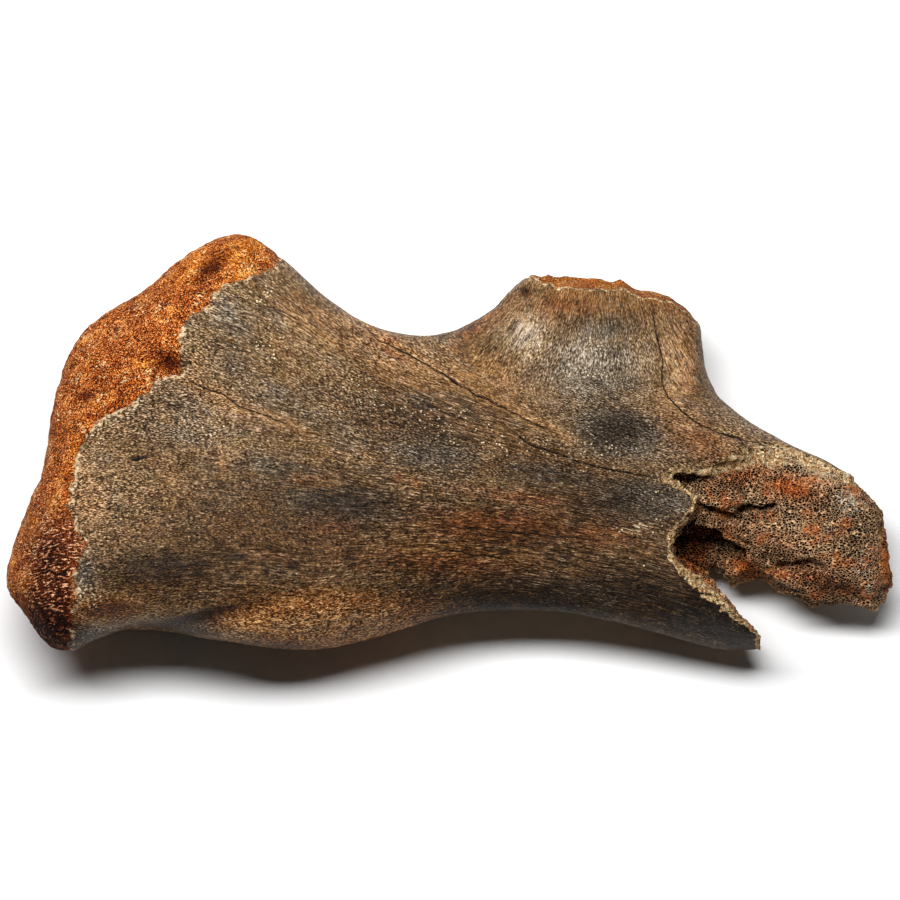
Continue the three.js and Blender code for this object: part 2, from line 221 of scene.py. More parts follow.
# Brighter orange on the worn end, and paler patches on the broken face.
BRIGHT = [
    (10.3, 30.8, 3, 5, 0, 1.1), (11.5, 51.3, 4, 5, 0, 1.2), (20, 60, 5, 6, 0, 0.5),
    (29, 78, 3, 8, 0, 0.7), (76, 157, 9, 4, 40, 0.7), (95, 163, 10, 5, 30, 0.9),
    (96, 154, 8, 2.5, 20, 0.6), (245, 153, 44, 7, -4, 0.9),
]
PALE_SPONGE = [
    (303, 85, 18, 6, -12, 1.1), (330, 77, 18, 5, -25, 1.0), (344, 60, 6, 5, -50, 0.9),
    (348, 34, 4, 10, 0, 0.4), (352, 26, 5, 7, -30, 0.4),
]
# Darker and rustier places on the broken face, and its orange nose. The darker places are
# partly painted shade, along the tongue's lower edge, in its crevices and by the hollow.
DARK_AND_SHADED_SPONGE = [
    (272, 72, 7, 3, 0, 1.2), (283, 40, 9, 14, -20, 1.0), (288, 69, 14, 7, 0, 0.7),
    (294, 84, 8, 2.5, 0, 0.8), (296, 50, 10, 3, -10, 1.0), (296, 66, 16, 5, 5, 0.5),
    (303, 40, 16, 3, -30, 0.6), (306, 55, 16, 3, 2, 0.8), (318, 37, 20, 5, -8, 1.0),
    (328, 22, 26, 5, -16, 1.1), (330, 60, 16, 5, -20, 0.6), (338, 26, 16, 6, -10, 1.5),
    (345, 42, 8, 20, 0, 0.7), (349, 48, 5, 14, -30, 0.7),
]
ORANGE_SPONGE = [
    (281, 36, 9, 14, -20, 1.0), (300, 72, 14, 6, 0, 0.8), (303, 33, 10, 5, -30, 1.1),
    (312, 46, 20, 6, -10, 0.4), (321, 66, 12, 5, -15, 1.2), (330, 30, 14, 4, -10, 0.7),
    (361, 36, 4, 14, 0, 1.4),
]

# The fibres of the cortex follow these three lines, and fan out to the upper end.
OUTER_FIBRE = [
    (-60, 280), (0, 236), (60, 192), (93, 170), (140, 138), (172, 120), (200, 107),
    (231, 96), (272, 86), (310, 74), (345, 64), (420, 50),
]
MIDDLE_FIBRE = [
    (-60, 92), (27, 88), (60, 86), (100, 82), (134, 76), (172, 70), (205, 65), (249, 57),
    (290, 45), (330, 34), (420, 20),
]
INNER_FIBRE = [
    (-60, -34), (27, -4), (84, 4), (125, 0), (165, 9.5), (212, 17), (258, 9.5),
    (293, 0.6), (420, -20),
]
FIBRE_SPREAD = 55  # what the breadth between two of these lines is counted as

VOXEL = 1.85 * MM  # the even faces' size, before those that show are split in four
SHARP_EDGE = math.radians(30)  # an edge sharper than this bounds the broken faces
EDGE_STEP = 0.5 * MM  # how far apart the points kept along the broken faces' edges are
SMOOTHING_STEPS = (0.6, -0.61)  # inward, then outward, so that the form doesn't shrink
FORM_ROUNDS = 16  # of smoothing for the even faces
SPLIT_ROUNDS = 2  # and again once those that show are split
GUIDE_BLUR = 8  # how far the corners of a guide line are rounded

# The faces are split in four this near the broken faces, the worn bone and the cracks.
SPLIT_NEAR_BREAK = 3.5
SPLIT_NEAR_WORN = 2
SPLIT_NEAR_CRACK = 2.2


# ---- Small tools ----

def smoothstep(low, high, x):
    t = np.clip((x - low) / (high - low), 0, 1)
    return t * t * (3 - 2 * t)


def noise(points, seed):
    """Smooth noise about 0, one hump to a unit, the same on every run."""
    cell = np.floor(points).astype(np.int64)
    part = points - cell
    fade = part ** 3 * (part * (part * 6 - 15) + 10)
    total = np.zeros(len(points))
    for corner in np.ndindex(2, 2, 2):
        place = cell + corner
        code = place[:, 0] * 73856093 ^ place[:, 1] * 19349663 ^ place[:, 2] * 83492791
        code = (code + seed * 374761393) & 0xFFFFFFFF
        for shift, factor in ((16, 0x85EBCA6B), (13, 0xC2B2AE35)):
            code = ((code ^ (code >> shift)) * factor) & 0xFFFFFFFF
        code ^= code >> 16
        offset = part - corner
        slope = [((code >> bits) & 1023) / 511.5 - 1 for bits in (0, 10, 20)]
        share = np.prod(np.where(np.array(corner), fade, 1 - fade), axis=1)
        total += share * sum(slope[axis] * offset[:, axis] for axis in range(3))
    return total


def layered_noise(points, size, octaves, seed):
    """Noise with humps of this size, and smaller ones on them."""
    total = np.zeros(len(points))
    for octave in range(octaves):
        total += noise(points * (2 ** octave / size), seed + octave) / 2 ** octave
    return total


def patches(u, v, notes):
    """The strongest of these soft ovals at each point."""
    total = np.zeros(len(u))
    for cu, cv, length, width, turn, strength in notes:
        angle = math.radians(turn)
        along = (u - cu) * math.cos(angle) + (v - cv) * math.sin(angle)
        across = (v - cv) * math.cos(angle) - (u - cu) * math.sin(angle)
        oval = np.exp(-((along / length) ** 2) - (across / width) ** 2)
        total = np.maximum(total, strength * oval)
    return total


def signed_distance(u, v, line):
    """Distance to a line through these points, positive to its left."""
    best = np.full(len(u), 1e9)
    side = np.ones(len(u))
    for (u0, v0), (u1, v1) in zip(line, line[1:]):
        du, dv = u1 - u0, v1 - v0
        share = np.clip(((u - u0) * du + (v - v0) * dv) / (du * du + dv * dv), 0, 1)
        away_u, away_v = u - u0 - share * du, v - v0 - share * dv
        distance = np.hypot(away_u, away_v)
        nearer = distance < best - 1e-9
        best = np.where(nearer, distance, best)
        side = np.where(nearer, np.sign(du * away_v - dv * away_u + 1e-12), side)
    return best * side


def guide(notes):
    """A smooth curve near these points, as a function of u."""
    grid = np.arange(notes[0][0], notes[-1][0] + 1.0)
    curve = np.interp(grid, [u for u, _ in notes], [v for _, v in notes])
    reach = round(2.5 * GUIDE_BLUR)
    kernel = np.exp(-(np.arange(-reach, reach + 1) / GUIDE_BLUR) ** 2)
    padded = np.pad(curve, reach, mode="edge")
    curve = np.convolve(padded, kernel / kernel.sum(), mode="valid")
    return lambda u: np.interp(u, grid, curve)


def read_points(mesh):
    values = np.empty(len(mesh.vertices) * 3)
    mesh.vertices.foreach_get("co", values)
    return values.reshape(-1, 3)


def write_points(mesh, points):
    mesh.vertices.foreach_set("co", np.ascontiguousarray(points).ravel())
    mesh.update()


def read_normals(mesh):
    values = np.empty(len(mesh.vertices) * 3)
    mesh.vertices.foreach_get("normal", values)
    return values.reshape(-1, 3)


def read_edges(mesh):
    values = np.empty(len(mesh.edges) * 2, dtype=np.int32)
    mesh.edges.foreach_get("vertices", values)
    return values.reshape(-1, 2)


# ---- The solid, and where it is broken ----

def welded(node):
    """The node's mesh with its doubled corners joined."""
    solid = bmesh.new()
    solid.from_mesh(node.data)
    bmesh.ops.remove_doubles(solid, verts=solid.verts, dist=1e-6)
    solid.normal_update()
    solid.faces.ensure_lookup_table()
    return solid


def cortex_faces(solid):
    """The faces of the largest stretch that no sharp edge parts: the whole outer surface."""
    found = set()
    largest = set()
    for face in solid.faces:
        if face in found:
            continue
        stretch = {face}
        waiting = [face]
        while waiting:
            for edge in waiting.pop().edges:
                if edge.calc_face_angle(0) > SHARP_EDGE:
                    continue
                for other in edge.link_faces:
                    if other not in stretch:
                        stretch.add(other)
                        waiting.append(other)
        found |= stretch
        if sum(f.calc_area() for f in stretch) > sum(f.calc_area() for f in largest):
            largest = stretch
    return largest


def break_edges(solid, cortex):
    """Points close together along every edge where the outer surface is broken off."""
    points = []
    for edge in solid.edges:
        sides = [face in cortex for face in edge.link_faces]
        if True in sides and False in sides:
            a, b = (vert.co for vert in edge.verts)
            steps = max(1, round(edge.calc_length() / EDGE_STEP))
            points += [a.lerp(b, step / steps) for step in range(steps)]
    tree = KDTree(len(points))
    for index, point in enumerate(points):
        tree.insert(point, index)
    tree.balance()
    return tree


def distance_into_break(points, solid, cortex):
    """How far each point is from the edge of the break, in millimetres: more than 0 on the
    broken face, less on the outer surface."""
    edges = break_edges(solid, cortex)
    surface = BVHTree.FromBMesh(solid)
    is_cortex = [face in cortex for face in solid.faces]
    result = np.empty(len(points))
    for index, point in enumerate(map(Vector, points)):
        distance = edges.find(point)[2] / MM
        face = surface.find_nearest(point)[2]
        result[index] = -distance if is_cortex[face] else distance
    return result


def evened(node):
    """A new object with the node's form in small even faces, and that form as it was."""
    solid = welded(node)
    mesh = bpy.data.meshes.new("fossil_bone")
    solid.to_mesh(mesh)
    piece = bpy.data.objects.new("fossil_bone", mesh)
    bpy.context.scene.collection.objects.link(piece)
    remesh = piece.modifiers.new("even", "REMESH")
    remesh.mode = "VOXEL"
    remesh.voxel_size = VOXEL
    graph = bpy.context.evaluated_depsgraph_get()
    piece.data = bpy.data.meshes.new_from_object(piece.evaluated_get(graph))
    piece.data.name = "fossil_bone"
    piece.modifiers.clear()
    piece.data.materials.clear()
    return piece, solid


def smoothed(points, edges, weight, rounds):
    """Smooths without shrinking, by this weight at each point."""
    count = len(points)
    ends = np.concatenate([edges[:, 0], edges[:, 1]])
    others = np.concatenate([edges[:, 1], edges[:, 0]])
    neighbours = np.bincount(ends, minlength=count)
    for step in SMOOTHING_STEPS * rounds:
        mean = np.stack(
            [np.bincount(ends, points[others, axis], count) for axis in range(3)], axis=1
        )
        mean /= neighbours[:, None]
        points = points + (mean - points) * (weight * step)[:, None]
    return points


def refined(mesh, wanted):
    """Splits the faces round the wanted points in four."""
    grid = bmesh.new()
    grid.from_mesh(mesh)
    edges = [e for e in grid.edges if wanted[e.verts[0].index] and wanted[e.verts[1].index]]
    bmesh.ops.subdivide_edges(grid, edges=edges, cuts=1, use_grid_fill=True)
    grid.to_mesh(mesh)
    grid.free()


# ---- Fields over the surface ----

class Fields:
    """What every point of the surface is like, worked out from its place."""

    def __init__(self, points, normals, into_break):
        mm = points / MM
        rise = math.sin(ELEVATION) * mm[:, 1] + math.cos(ELEVATION) * mm[:, 2]
        self.place = mm
        self.u = mm[:, 0] - mm[:, 0].min()
        self.v = rise - rise.min()
        self.h = mm[:, 2]
        toward = normals[:, 2] * math.sin(ELEVATION) - normals[:, 1] * math.cos(ELEVATION)
        self.front = smoothstep(*FRONT_FROM, toward)
        self.into_break = into_break
        self.set_fibres()
        self.set_worn()
        self.set_rim()
        self.set_cracks()

    def set_fibres(self):
        """Along the fibres, across them and into the bone, for the shaft and the flare."""
        inner, middle, outer = (
            guide(notes)(self.u) for notes in (INNER_FIBRE, MIDDLE_FIBRE, OUTER_FIBRE)
        )
        breadth = np.where(self.v < middle, middle - inner, outer - middle)
        across = (self.v - middle) / breadth * FIBRE_SPREAD
        wave = layered_noise(self.place, size=40, octaves=2, seed=3) * 1.5
        self.grain = np.stack([self.u, across + wave, self.h], axis=1)
        self.spread = breadth / FIBRE_SPREAD
        away_u, away_v = self.u - FLARE_CENTRE[0], FLARE_CENTRE[1] - self.v
        turn = np.arctan2(away_u, np.maximum(away_v, 5)) * FLARE_SPREAD
        radius = np.hypot(away_u, away_v)
        self.flare_grain = np.stack([radius, turn + wave, self.h], axis=1)
        wander = layered_noise(self.place, size=20, octaves=2, seed=5) * 8
        self.flare = smoothstep(*FLARE_FROM_V, self.v + wander)
        self.flare *= smoothstep(*FLARE_FROM_U, self.u)

    def set_worn(self):
        """How far into the worn spongy bone of the upper end, with a ragged border."""
        border = -signed_distance(self.u, self.v, WORN_BORDER)
        ragged = layered_noise(self.place, size=5, octaves=3, seed=11) * 1.8
        wander = 3 + layered_noise(self.place, size=30, octaves=2, seed=17) * 12
        self.worn = border + ragged + (1 - self.front) * wander

    def set_rim(self):
        """How wide the pale edge is on the outer surface and on the broken face."""
        self.rim_out = np.full(len(self.u), RIM_BASE[0])
        self.rim_in = np.full(len(self.u), RIM_BASE[1])
        for cu, cv, reach, out, inward in RIM_WIDE:
            share = np.exp(-((self.u - cu) ** 2 + (self.v - cv) ** 2) / reach ** 2)
            self.rim_out += share * out
            self.rim_in += share * inward
        chips = layered_noise(self.place, size=2.8, octaves=3, seed=29)
        self.rim_out = np.maximum(self.rim_out * (1 + chips * 1.6), 0.1)
        self.rim_in = np.maximum(self.rim_in * (1 + chips * 0.9), 0.2)

    def set_cracks(self):
        """The nearest crack's signed distance, how near it is, its depth and its rust."""
        best = np.full(len(self.u), 1e9)
        side, near, depth, rusty = np.zeros((4, len(self.u)))
        wander = layered_noise(self.place, size=6, octaves=3, seed=23) * 0.9
        for line, half_width, deep, rust in CRACKS:
            distance = signed_distance(self.u, self.v, line) + wander
            size = np.abs(distance)
            ends = np.minimum(
                np.hypot(self.u - line[0][0], self.v - line[0][1]),
                np.hypot(self.u - line[-1][0], self.v - line[-1][1]),
            )
            length = math.dist(line[0], line[-1])
            taper = 0.25 + 0.75 * smoothstep(0, min(16, length / 4), ends)
            closer = size < best
            best = np.where(closer, size, best)
            side = np.where(closer, distance / half_width, side)
            near = np.where(closer, (1 - smoothstep(*CRACK_FADE, size)) * taper, near)
            slope = np.exp(-(size / CRACK_REACH) ** 2)
            depth = np.where(closer, deep * slope * taper, depth)
            stain = np.exp(-(size / CRACK_RUST_REACH) ** 2)
            rusty = np.where(closer, rust * stain, rusty)
        front = self.front * (self.into_break < 0)
        self.crack_size = best
        self.crack_side = side
        self.crack_near = near * front
        self.crack_depth = depth * front
        self.crack_rust = rusty * front


def pits(f, size, depth):
    """Scattered round pits in spongy bone, each up to this deep."""
    return np.clip(layered_noise(f.place, size, octaves=2, seed=61) - 0.2, 0, 1) * depth


def worn_relief(f):
    """Worn spongy bone lies lower than the cortex, lumpy and pitted."""
    crumbly = layered_noise(f.place, size=6, octaves=4, seed=51) * 0.9
    sunk_border = 1.2 * np.exp(-np.maximum(f.worn, 0) / 3)
    return crumbly - pits(f, size=3, depth=2.6) - sunk_border


def broken_relief(f):
    """The broken face: lumps and pores, and smoother on the third trochanter."""
    lumps = layered_noise(f.place, size=11, octaves=3, seed=81) * 2.2
    lumps += layered_noise(f.place, size=4.5, octaves=2, seed=87) * 1.3
    ledges = np.abs(layered_noise(f.place * [0.4, 1, 1], size=4.5, octaves=2, seed=89)) * 2.4
    smoother = 0.85 * smoothstep(*BROKEN_TOP_FROM_V, f.v)
    return (lumps + ledges - pits(f, size=3.2, depth=3.0)) * (1 - smoother)


def grooves(f):
    """How deep the long grooves are at each point."""
    depth = np.zeros(len(f.u))
    wander = layered_noise(f.place, size=5, octaves=2, seed=83)
    for line, half_width, deep in GROOVES:
        size = np.abs(signed_distance(f.u, f.v, line) + wander)
        depth = np.maximum(depth, deep * np.exp(-(size / half_width) ** 2))
    return depth * f.front


def on_lump(f):
    """1 at the middle of the rough lesser trochanter, falling away round it."""
    lump_u, lump_v, length, width = ROUGH_LUMP
    return np.exp(-((f.u - lump_u) / length) ** 2 - ((f.v - lump_v) / width) ** 2)


def cortex_relief(f):
    """Long low ridges along the fibres, and the rough lesser trochanter."""
    stretch = np.array([1 / 26, 1 / 4.5, 1 / 9])
    fibrous = noise(f.grain * stretch, 41) * 0.35 + noise(f.grain * stretch * 2, 42) * 0.2
    worms = 1 - np.abs(layered_noise(f.place * [0.55, 1, 1], size=5.0, octaves=2, seed=71)) * 4
    return fibrous + worms * 0.55 * on_lump(f)


def relief(f):
    """How far each point is moved out along its normal, in millimetres."""
    broken = smoothstep(-0.6, 0.6, f.into_break)
    worn = smoothstep(-0.3, 0.6, f.worn) * (1 - broken)
    cortex = (1 - worn) * (1 - broken)
    move = layered_noise(f.place, size=34, octaves=3, seed=31) * 1.3
    move += cortex * cortex_relief(f) + worn * worn_relief(f) + broken * broken_relief(f)
    bevel = smoothstep(-1.3, 0.2, f.into_break / np.maximum(f.rim_out, 0.5))
    bevel *= np.minimum(f.rim_out, 3) * 0.7
    move -= cortex * bevel
    move += patches(f.u, f.v, FULLER) - patches(f.u, f.v, LEANER)
    return move - f.crack_depth - grooves(f) - patches(f.u, f.v, GOUGES) * f.front


# ---- Node tools ----

def linear(red, green, blue):
    """A screen colour of 0 to 255 as the shader wants it."""
    def one(value):
        value /= 255
        return value / 12.92 if value <= 0.04045 else ((value + 0.055) / 1.055) ** 2.4
    return (one(red), one(green), one(blue), 1.0)


class Nodes:
    """Builds one material's nodes, each call giving the socket that comes out."""

    def __init__(self, material):
        material.use_nodes = True
        self.tree = material.node_tree
        self.tree.nodes.clear()
        self.attributes = {}

    def add(self, kind, **settings):
        node = self.tree.nodes.new(kind)
        for name, value in settings.items():
            setattr(node, name, value)
        return node

    def feed(self, socket, value):
        if isinstance(value, bpy.types.NodeSocket):
            self.tree.links.new(value, socket)
        else:
            socket.default_value = value

    def attribute(self, name, output="Fac"):
        """What store_looks keeps on the mesh under this name, from one node however often."""
        if name not in self.attributes:
            self.attributes[name] = self.add("ShaderNodeAttribute", attribute_name=name)
        return self.attributes[name].outputs[output]

    def math(self, operation, a, b=0.0, clamp=False):
        node = self.add("ShaderNodeMath", operation=operation, use_clamp=clamp)
        self.feed(node.inputs[0], a)
        self.feed(node.inputs[1], b)
        return node.outputs[0]

    def scaled(self, vector, factors):
        node = self.add("ShaderNodeVectorMath", operation="MULTIPLY")
        self.feed(node.inputs[0], vector)
        self.feed(node.inputs[1], factors)
        return node.outputs[0]

    def noise(self, vector, size, detail=2.0, roughness=0.5, distortion=0.0):
        """Noise about 0.5 with humps of this size, and `detail` times finer ones on them."""
        node = self.add("ShaderNodeTexNoise")
        self.feed(node.inputs["Vector"], vector)
        self.feed(node.inputs["Scale"], 1 / size)
        self.feed(node.inputs["Detail"], detail)
        self.feed(node.inputs["Roughness"], roughness)
        self.feed(node.inputs["Distortion"], distortion)
        return node.outputs["Fac"]

    def cells(self, vector, size, feature="F1"):
        """How far each place is from the middle of its cell, or from its edge."""
        node = self.add("ShaderNodeTexVoronoi", feature=feature)
        self.feed(node.inputs["Vector"], vector)
        self.feed(node.inputs["Scale"], 1 / size)
        return node.outputs["Distance"]

    def span(self, value, low, high, out_low=0.0, out_high=1.0):
        """value from low to high becomes out_low to out_high, and no more."""
        node = self.add("ShaderNodeMapRange", clamp=True)
        for index, entry in enumerate((value, low, high, out_low, out_high)):
            self.feed(node.inputs[index], entry)
        return node.outputs[0]

    def mix(self, share, a, b, blend="MIX"):
        node = self.add("ShaderNodeMix", data_type="RGBA", blend_type=blend)
        self.feed(node.inputs["Factor"], share)
        self.feed(node.inputs[6], a)
        self.feed(node.inputs[7], b)
        return node.outputs[2]

    def mix_value(self, share, a, b):
        node = self.add("ShaderNodeMix", data_type="FLOAT")
        self.feed(node.inputs[0], share)
        self.feed(node.inputs[2], a)
        self.feed(node.inputs[3], b)
        return node.outputs[0]

    def weighted(self, parts):
        """The sum of these values, each times its weight."""
        total = None
        for value, weight in parts:
            part = value if weight == 1 else self.math("MULTIPLY", value, weight)
            total = part if total is None else self.math("ADD", total, part)
        return total

    def ramp(self, value, stops):
        """Screen colours that blend into each other, each pure at its own value."""
        node = self.add("ShaderNodeValToRGB")
        elements = node.color_ramp.elements
        while len(elements) > 1:
            elements.remove(elements[0])
        for index, (place, colour) in enumerate(stops):
            element = elements[0] if index == 0 else elements.new(place)
            element.position = place
            element.color = linear(*colour)
        self.feed(node.inputs[0], value)
        return node.outputs[0]

    def shader(self, colour, roughness):
        """The surface that the material ends in."""
        node = self.add("ShaderNodeBsdfPrincipled")
        self.feed(node.inputs["Base Color"], colour)
        self.feed(node.inputs["Roughness"], roughness)
        output = self.add("ShaderNodeOutputMaterial")
        self.feed(output.inputs["Surface"], node.outputs[0])
        return node


# ---- Materials ----
# Sizes are in millimetres. A tone goes from the dark of a pore to the light of a ridge.

FINEST = 0.42  # how far apart the finest fibres of the cortex are
FIBRE_LENGTH = 1.1
FLARED_FIBRE = (1.1, 0.24, 1.2)  # length, width and depth where the guide lines spread apart
STREAK_LENGTH = 5  # of the fibres where the bone is lined
INTO_BONE = 2.5  # how much further the pattern reaches into the bone than across the fibres
GRIT = 0.45  # the grain of the spongy bone
PORE = 0.94  # how far apart the open pores of the broken face are

CORTEX_STEPS = (0.33, 0.44, 0.54, 0.68)
CORTEX_COLOURS = {
    "brown": [(26, 11, 0), (74, 49, 21), (121, 93, 58), (200, 170, 132)],
    "grey": [(16, 11, 4), (58, 50, 38), (100, 89, 75), (188, 177, 162)],
    "ochre": [(42, 19, 1), (108, 70, 29), (164, 118, 70), (230, 190, 142)],
    "rust": [(32, 11, 0), (86, 43, 12), (138, 80, 36), (204, 142, 88)],
    "golden": [(32, 12, 1), (114, 64, 24), (192, 122, 60), (255, 208, 146)],
}
SPONGE_STEPS = (0.33, 0.44, 0.55, 0.64)
SPONGE_COLOURS = {
    "tan": [(12, 4, 0), (88, 37, 12), (192, 114, 63), (255, 216, 166)],
    "rust": [(14, 4, 0), (98, 29, 4), (186, 70, 16), (242, 142, 72)],
    "cream": [(40, 22, 8), (140, 98, 60), (234, 192, 142), (255, 242, 214)],
}
RUSTY_RAMP = [
    (0.38, (36, 10, 0)), (0.455, (108, 40, 4)), (0.51, (164, 72, 14)),
    (0.57, (200, 108, 36)), (0.66, (246, 190, 118)),
]
AMBER_RAMP = [
    (0.38, (80, 28, 2)), (0.47, (190, 88, 10)), (0.56, (228, 136, 28)),
    (0.66, (252, 208, 110)),
]
UMBER_RAMP = [
    (0.44, (12, 3, 0)), (0.56, (78, 28, 6)), (0.72, (150, 72, 30)), (0.90, (252, 204, 158)),
]
EDGE_RAMP = [
    (0.37, (60, 30, 9)), (0.45, (190, 132, 74)), (0.52, (255, 214, 152)),
    (0.60, (255, 244, 208)),
]
WRINKLE_COLOUR = linear(20, 11, 4)
CRACK_COLOUR = linear(14, 8, 5)
FLECK_AND_GLINT_COLOUR = linear(240, 218, 182)
BORDER_COLOUR = linear(226, 200, 160)
WORN_PIT_COLOUR = linear(18, 6, 2)
WORN_FLAKE_COLOUR = linear(244, 214, 158)
HOLE_COLOUR = linear(22, 9, 3)
SHADE = (0.25, 0.17, 0.09, 1)  # what the darkest stains and painted shade leave of the colour below


def along(n, size, length, detail, roughness):
    """Noise drawn out along the fibres of the shaft or, there, of the third trochanter."""
    stretch = (1 / length, 1 / size, 1 / size / INTO_BONE)
    shaft, fan = (
        n.noise(n.scaled(n.attribute(name, "Vector"), stretch), 1, detail, roughness)
        for name in ("grain", "flare_grain")
    )
    return n.mix_value(n.attribute("flare"), shaft, fan)


def off_middle(n, value):
    """How far a noise is from its middle: thin winding lines where it is near 0."""
    return n.math("ABSOLUTE", n.math("SUBTRACT", value, 0.5))


def cortex_tone(n, place):
    """The tone of the outer bone's fibres, and their relief with the rough lump's."""
    wide = n.span(n.attribute("spread"), 1.1, 1.7)
    stretch = [1 / size for size in FLARED_FIBRE]
    finer = n.noise(n.scaled(n.attribute("grain", "Vector"), stretch), 1, 0)
    fibres = n.mix_value(wide, along(n, FINEST, FIBRE_LENGTH, 0, 0.5), finer)
    fine = n.weighted([(fibres, 0.75), (n.noise(place, FINEST, 0), 0.25)])
    streaks = along(n, FINEST, STREAK_LENGTH, 1, 0.5)
    tone = n.mix_value(n.span(n.attribute("lined"), 0, 1.2, 0, 0.6), fine, streaks)
    tone = n.mix_value(n.span(n.attribute("flare"), 0, 1, 0, 0.42), tone, 0.51)
    worms = off_middle(n, n.noise(n.scaled(place, (0.4, 1, 1)), 1.3, 2, 0.6, 0.5))
    worms = n.math("MULTIPLY", n.span(worms, 0.0, 0.1, 0.2, -0.12), n.attribute("rough"))
    cloud = n.span(n.noise(place, 5, 3, 0.6), 0.25, 0.75, -0.04, 0.04)
    # The paler notes lift the tone, partly as a painted highlight, and the darker notes lower it,
    # partly as painted shade.
    tone = n.weighted([
        (tone, 1), (worms, 1), (cloud, 1),
        (n.attribute("pale"), 0.045), (n.attribute("dark"), -0.055),
    ])
    return tone, n.weighted([(fine, 0.3), (streaks, 0.3), (worms, 4)])


def stained(n, tone):
    """The outer bone's brown with its ochre, rust, slate and golden places."""
    brown, grey, ochre, rust, golden = (
        n.ramp(tone, zip(CORTEX_STEPS, colours)) for colours in CORTEX_COLOURS.values()
    )
    ragged = n.span(along(n, 2.6, 9, 2, 0.6), 0.3, 0.7, -0.4, 0.4)

    def stain(name, strength):
        wide = n.span(n.math("ADD", n.attribute(name), ragged), 0.05, 0.95)
        return n.math("MULTIPLY", wide, strength)

    drift = n.noise(n.scaled(n.attribute("grain", "Vector"), (0.4, 1, 1)), 7, 3, 0.6)
    warm = n.math("MAXIMUM", stain("ochre", 0.8), n.span(drift, 0.52, 0.66, 0, 0.35))
    cool = n.math("MAXIMUM", stain("slate", 0.85), n.span(drift, 0.48, 0.38, 0, 0.3))
    colour = n.mix(warm, brown, ochre)
    colour = n.mix(stain("rust", 0.95), colour, rust)
    colour = n.mix(cool, colour, grey)
    colour = n.mix(n.span(n.attribute("rough"), 0.15, 0.6), colour, golden)
    return colour, ochre


def wrinkles_and_hairs(n, place):
    """Short dark wrinkles in clusters along the fibres, and long hairs where it is lined."""
    clusters = n.span(n.noise(place, 8, 3, 0.6), 0.42, 0.58, 0.1, 0.9)
    wrinkles = n.span(off_middle(n, along(n, 1.5, 5, 3, 0.6)), 0.004, 0.026, 1, 0)
    wrinkles = n.math("MULTIPLY", wrinkles, clusters)
    wrinkles = n.math("MULTIPLY", wrinkles, n.span(n.attribute("flare"), 0, 1, 1, 0.6))
    hairs = n.span(off_middle(n, along(n, 1.6, 24, 2, 0.5)), 0.01, 0.045, 1, 0)
    hairs = n.math("MULTIPLY", hairs, n.span(n.noise(place, 7, 3, 0.6), 0.4, 0.52))
    hairs = n.math("MULTIPLY", hairs, n.attribute("lined"), clamp=True)
    return n.math("MAXIMUM", wrinkles, hairs)


def flecks_and_glints(n, place):
    """Small pale dots in groups, which on the third trochanter are painted glints, and long scuffs
    where they are thickest.
    """
    cream = n.attribute("cream")
    dots = n.span(n.cells(place, 1.6), 0.18, 0.3, 1, 0)
    dots = n.math("MULTIPLY", dots, n.span(n.noise(place, 4, 3, 0.6), 0.45, 0.55))
    dots = n.math("MULTIPLY", dots, n.span(cream, 0.05, 0.6))
    scuffs = n.span(along(n, 1.3, 6, 3, 0.6), 0.56, 0.62)
    scuffs = n.math("MULTIPLY", scuffs, n.span(cream, 0.9, 1.3))
    return n.math("MAXIMUM", dots, scuffs)


def cracked(n, place, colour, ochre):
    """Cracks are dark lines that fade in and out, with rust beside them."""
    edge = n.math("ABSOLUTE", n.attribute("crack_side"))
    line = n.math("MULTIPLY", n.span(edge, 0.5, 1.5, 1, 0), n.attribute("crack_near"))
    line = n.math("MULTIPLY", line, n.span(n.noise(place, 2.5, 3, 0.6), 0.34, 0.5, 0.6, 1))
    colour = n.mix(n.math("MULTIPLY", n.attribute("crack_rust"), 0.6), colour, ochre)
    return n.mix(line, colour, CRACK_COLOUR)


def cortex_look(n, place):
    """Outer bone: fine fibres and pits in brown, with stains. Gives colour and relief."""
    tone, height = cortex_tone(n, place)
    colour, ochre = stained(n, tone)
    pits = n.span(along(n, 0.7, 1.8, 0, 0.5), 0.26, 0.33, 0.7, 0)
    colour = n.mix(pits, colour, WRINKLE_COLOUR)
    wrinkles = wrinkles_and_hairs(n, place)
    colour = n.mix(n.math("MULTIPLY", wrinkles, 0.8), colour, WRINKLE_COLOUR)
    colour = n.mix(flecks_and_glints(n, place), colour, FLECK_AND_GLINT_COLOUR)
    colour = cracked(n, place, colour, ochre)
    return colour, n.weighted([(height, 1), (wrinkles, -0.4)])


